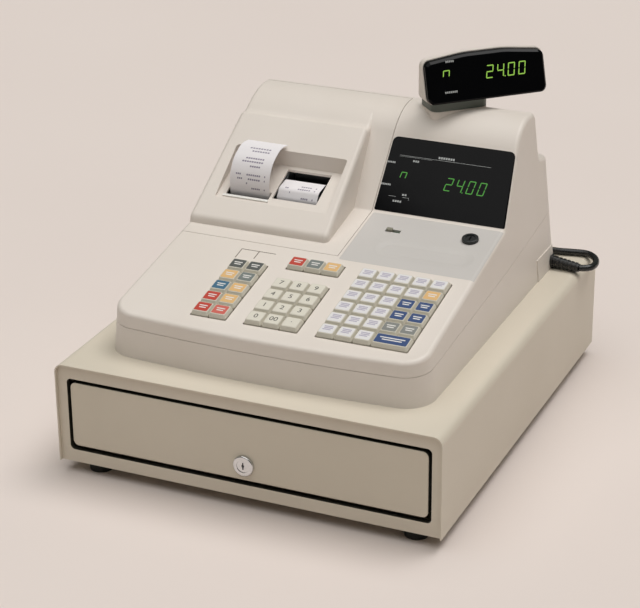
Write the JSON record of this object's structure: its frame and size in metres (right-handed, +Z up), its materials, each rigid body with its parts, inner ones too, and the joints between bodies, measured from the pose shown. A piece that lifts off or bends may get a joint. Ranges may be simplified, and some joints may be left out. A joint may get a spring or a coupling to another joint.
{
  "type": "ticket register",
  "caption": "Ticket register with keys, a lift-off printer cover and a swivelling customer display, on a steel cash drawer that slides out under it.",
  "frame": {"origin": "middle of the drawer's footprint on the counter", "axes": "+X to the operator's right, +Y to the back, +Z up"},
  "size_m": [0.4148, 0.6618, 0.354],
  "materials": {
    "board": "solder mask",
    "case_paint": "fine textured powder coat",
    "chrome": "polished",
    "cord_plastic": "smooth sheath",
    "cream_plastic": "fine moulded texture",
    "dark_plastic": "fine moulded texture",
    "drawer_paint": "fine textured powder coat",
    "grey_plastic": "fine moulded texture",
    "key_plastic": "smooth moulded",
    "paper": "uncoated",
    "rubber": "matte",
    "smoked_window": "polished smoked acrylic",
    "steel": "plated steel",
    "tray_plastic": "moulded"
  },
  "bodies": {
    "case": {"case_cover": "case_paint", "case_base": "steel", "case_front_frame": "case_paint", "case_feet": "rubber", "case_screws": "steel", "rails_outer": "steel", "latch_solenoid": "steel", "lower_case": "cream_plastic", "upper_case": "cream_plastic", "key_frame": "dark_plastic", "control_panel": "grey_plastic", "mode_switch_body": "dark_plastic", "display_window": "smoked_window", "operator_display": "dark_plastic", "printer_frame": "steel", "journal_paper": "paper", "circuit_boards": "board", "strain_relief": "cord_plastic", "power_cord": "cord_plastic", "cord_coil": "cord_plastic", "plug": "cord_plastic"},
    "drawer": {"drawer_box": "steel", "drawer_front": "drawer_paint", "till_tray": "tray_plastic", "coin_tray": "tray_plastic", "clip_rod": "steel", "drawer_lock": "chrome", "rails_inner": "steel"},
    "rails": {"rails_middle": "steel"},
    "lock": {"lock_plug": "chrome"},
    "latch": {"latch_hook": "steel"},
    "plunger": {"solenoid_plunger": "steel"},
    "cover": {"printer_cover": "cream_plastic", "receipt_paper": "paper"},
    "display": {"customer_display_neck": "cream_plastic", "customer_display_housing": "cream_plastic", "customer_display_window": "smoked_window"},
    "mode": {"mode_switch_rotor": "steel"},
    "receipt": {"receipt_switch": "grey_plastic"},
    "head": {"print_head": "dark_plastic"},
    "feed": {"feed_roller": "rubber"},
    "receipt_paper_roll": {"receipt_roll": "paper"},
    "journal_paper_roll": {"journal_roll": "paper"},
    "spool": {"takeup_spool": "dark_plastic"},
    "clip_1": {"bill_clip_1": "steel"},
    "clip_2": {"bill_clip_2": "steel"},
    "clip_3": {"bill_clip_3": "steel"},
    "clip_4": {"bill_clip_4": "steel"},
    "left_keys_1": {"left_keys_1": "key_plastic"},
    "left_keys_2": {"left_keys_2": "key_plastic"},
    "number_keys_1": {"number_keys_1": "key_plastic"},
    "number_keys_2": {"number_keys_2": "key_plastic"},
    "number_keys_3": {"number_keys_3": "key_plastic"},
    "right_keys_1": {"right_keys_1": "key_plastic"},
    "right_keys_2": {"right_keys_2": "key_plastic"},
    "right_keys_3": {"right_keys_3": "key_plastic"},
    "right_keys_4": {"right_keys_4": "key_plastic"},
    "right_keys_5": {"right_keys_5": "key_plastic"},
    "top_keys": {"top_keys": "key_plastic"},
    "total_key": {"total_key": "key_plastic"}
  },
  "joints": [
    {"name": "drawer_slide", "type": "slide", "parent": "case", "child": "drawer", "axis": [0, -1, 0], "range_m": [0, 0.29]},
    {"name": "rails_slide", "type": "slide", "parent": "case", "child": "rails", "axis": [0, -1, 0], "range_m": [0, 0.145]},
    {"name": "lock_turn", "type": "hinge", "parent": "drawer", "child": "lock", "pos_m": [0, -0.2202, 0.0475], "axis": [0, 1, 0], "range_deg": [0, 90]},
    {"name": "latch_pivot", "type": "hinge", "parent": "case", "child": "latch", "pos_m": [0, 0.208, 0.0294], "axis": [1, 0, 0], "range_deg": [0, 15]},
    {"name": "plunger_slide", "type": "slide", "parent": "case", "child": "plunger", "axis": [0, 0, 1], "range_m": [0, 0.00366]},
    {"name": "cover_lift", "type": "slide", "parent": "case", "child": "cover", "axis": [0, 0, 1], "range_m": [0, 0.18]},
    {"name": "display_swivel", "type": "hinge", "parent": "case", "child": "display", "pos_m": [0.066, 0.146, 0.2962], "axis": [0, 0, 1], "range_deg": [-44, 90]},
    {"name": "mode_turn", "type": "hinge", "parent": "case", "child": "mode", "pos_m": [0.131, 0.023, 0.20147], "axis": [0, -0.1822, 0.9833], "range_deg": [-60, 60]},
    {"name": "receipt_switch_slide", "type": "slide", "parent": "case", "child": "receipt", "axis": [1, 0, 0], "range_m": [0, 0.007]},
    {"name": "print_head_slide", "type": "slide", "parent": "case", "child": "head", "axis": [1, 0, 0], "range_m": [0, 0.066]},
    {"name": "feed_turn", "type": "hinge", "parent": "case", "child": "feed", "pos_m": [-0.0805, 0.031, 0.202], "axis": [1, 0, 0], "continuous": true},
    {"name": "receipt_roll_turn", "type": "hinge", "parent": "case", "child": "receipt_paper_roll", "pos_m": [-0.106, 0.113, 0.184], "axis": [1, 0, 0], "continuous": true},
    {"name": "journal_roll_turn", "type": "hinge", "parent": "case", "child": "journal_paper_roll", "pos_m": [-0.0565, 0.113, 0.184], "axis": [1, 0, 0], "continuous": true},
    {"name": "spool_turn", "type": "hinge", "parent": "case", "child": "spool", "pos_m": [-0.0565, 0.078, 0.226], "axis": [1, 0, 0], "continuous": true},
    {"name": "clip_1_turn", "type": "hinge", "parent": "drawer", "child": "clip_1", "pos_m": [-0.13181, 0.08, 0.072], "axis": [-1, 0, 0], "range_deg": [0, 50], "stiffness_Nm_per_rad": 0.02, "springref_deg": -17.19},
    {"name": "clip_2_turn", "type": "hinge", "parent": "drawer", "child": "clip_2", "pos_m": [-0.04394, 0.08, 0.072], "axis": [-1, 0, 0], "range_deg": [0, 50], "stiffness_Nm_per_rad": 0.02, "springref_deg": -17.19},
    {"name": "clip_3_turn", "type": "hinge", "parent": "drawer", "child": "clip_3", "pos_m": [0.04394, 0.08, 0.072], "axis": [-1, 0, 0], "range_deg": [0, 50], "stiffness_Nm_per_rad": 0.02, "springref_deg": -17.19},
    {"name": "clip_4_turn", "type": "hinge", "parent": "drawer", "child": "clip_4", "pos_m": [0.13181, 0.08, 0.072], "axis": [-1, 0, 0], "range_deg": [0, 50], "stiffness_Nm_per_rad": 0.02, "springref_deg": -17.19},
    {"name": "left_keys_1_press", "type": "slide", "parent": "case", "child": "left_keys_1", "axis": [0, 0.1822, -0.9833], "range_m": [0, 0.0035], "stiffness_N_per_m": 300, "springref_m": -0.001},
    {"name": "left_keys_2_press", "type": "slide", "parent": "case", "child": "left_keys_2", "axis": [0, 0.1822, -0.9833], "range_m": [0, 0.0035], "stiffness_N_per_m": 300, "springref_m": -0.001},
    {"name": "number_keys_1_press", "type": "slide", "parent": "case", "child": "number_keys_1", "axis": [0, 0.1822, -0.9833], "range_m": [0, 0.0035], "stiffness_N_per_m": 300, "springref_m": -0.001},
    {"name": "number_keys_2_press", "type": "slide", "parent": "case", "child": "number_keys_2", "axis": [0, 0.1822, -0.9833], "range_m": [0, 0.0035], "stiffness_N_per_m": 300, "springref_m": -0.001},
    {"name": "number_keys_3_press", "type": "slide", "parent": "case", "child": "number_keys_3", "axis": [0, 0.1822, -0.9833], "range_m": [0, 0.0035], "stiffness_N_per_m": 300, "springref_m": -0.001},
    {"name": "right_keys_1_press", "type": "slide", "parent": "case", "child": "right_keys_1", "axis": [0, 0.1822, -0.9833], "range_m": [0, 0.0035], "stiffness_N_per_m": 300, "springref_m": -0.001},
    {"name": "right_keys_2_press", "type": "slide", "parent": "case", "child": "right_keys_2", "axis": [0, 0.1822, -0.9833], "range_m": [0, 0.0035], "stiffness_N_per_m": 300, "springref_m": -0.001},
    {"name": "right_keys_3_press", "type": "slide", "parent": "case", "child": "right_keys_3", "axis": [0, 0.1822, -0.9833], "range_m": [0, 0.0035], "stiffness_N_per_m": 300, "springref_m": -0.001},
    {"name": "right_keys_4_press", "type": "slide", "parent": "case", "child": "right_keys_4", "axis": [0, 0.1822, -0.9833], "range_m": [0, 0.0035], "stiffness_N_per_m": 300, "springref_m": -0.001},
    {"name": "right_keys_5_press", "type": "slide", "parent": "case", "child": "right_keys_5", "axis": [0, 0.1822, -0.9833], "range_m": [0, 0.0035], "stiffness_N_per_m": 300, "springref_m": -0.001},
    {"name": "top_keys_press", "type": "slide", "parent": "case", "child": "top_keys", "axis": [0, 0.1822, -0.9833], "range_m": [0, 0.0035], "stiffness_N_per_m": 300, "springref_m": -0.001},
    {"name": "total_key_press", "type": "slide", "parent": "case", "child": "total_key", "axis": [0, 0.1822, -0.9833], "range_m": [0, 0.0035], "stiffness_N_per_m": 300, "springref_m": -0.001}
  ],
  "couplings": [
    {"joint": "rails_slide", "follows": "drawer_slide", "ratio": 0.5},
    {"joint": "latch_pivot", "follows": "plunger_slide", "rad_per_m": 71.429},
    {"joint": "receipt_roll_turn", "follows": "feed_turn", "ratio": 0.21212},
    {"joint": "journal_roll_turn", "follows": "feed_turn", "ratio": 0.21212},
    {"joint": "spool_turn", "follows": "feed_turn", "ratio": 0.58333}
  ]
}
